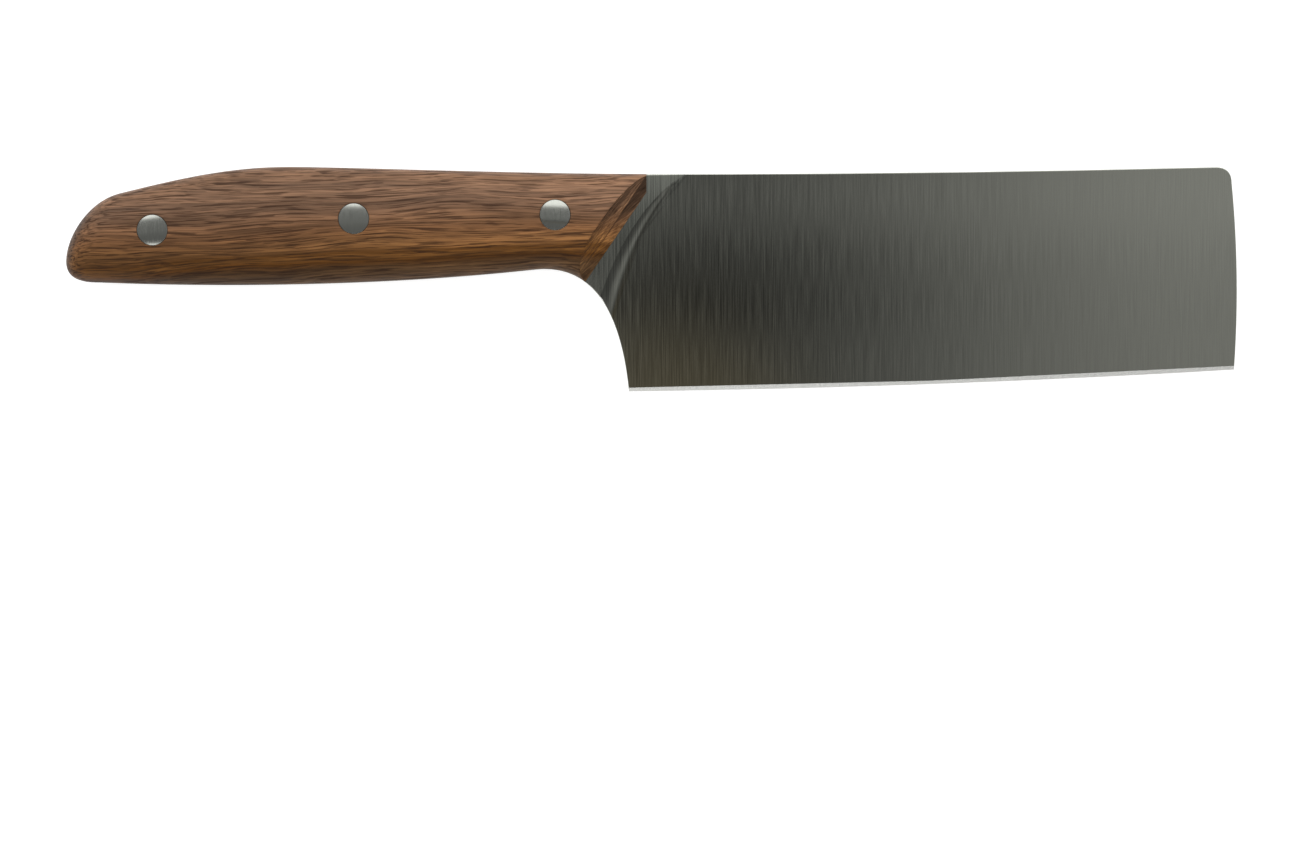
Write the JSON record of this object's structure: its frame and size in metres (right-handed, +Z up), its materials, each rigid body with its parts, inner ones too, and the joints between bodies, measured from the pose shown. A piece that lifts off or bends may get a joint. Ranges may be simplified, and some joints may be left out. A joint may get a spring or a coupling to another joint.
{
  "type": "nakiri knife",
  "caption": "Full-tang nakiri vegetable knife: tall flat-ground blade with a blunt tip, and crowned walnut handle scales held to the tang by flush rivets.",
  "frame": {"origin": "middle of the knife's footprint as it lies on its side, at the height of what it lies on", "axes": "+X along the knife to the tip, +Y across it to the spine, +Z up through the flat of the blade and out of its right side"},
  "size_m": [0.3, 0.0576, 0.0195],
  "materials": {
    "blade_steel": "satin",
    "walnut": "satin",
    "rivet_steel": "polished"
  },
  "bodies": {
    "root": {"blade": "blade_steel", "scale_right": "walnut", "scale_left": "walnut", "rivet_butt_post": "rivet_steel", "rivet_butt_barrel": "rivet_steel", "rivet_middle_post": "rivet_steel", "rivet_middle_barrel": "rivet_steel", "rivet_front_post": "rivet_steel", "rivet_front_barrel": "rivet_steel"}
  },
  "joints": []
}
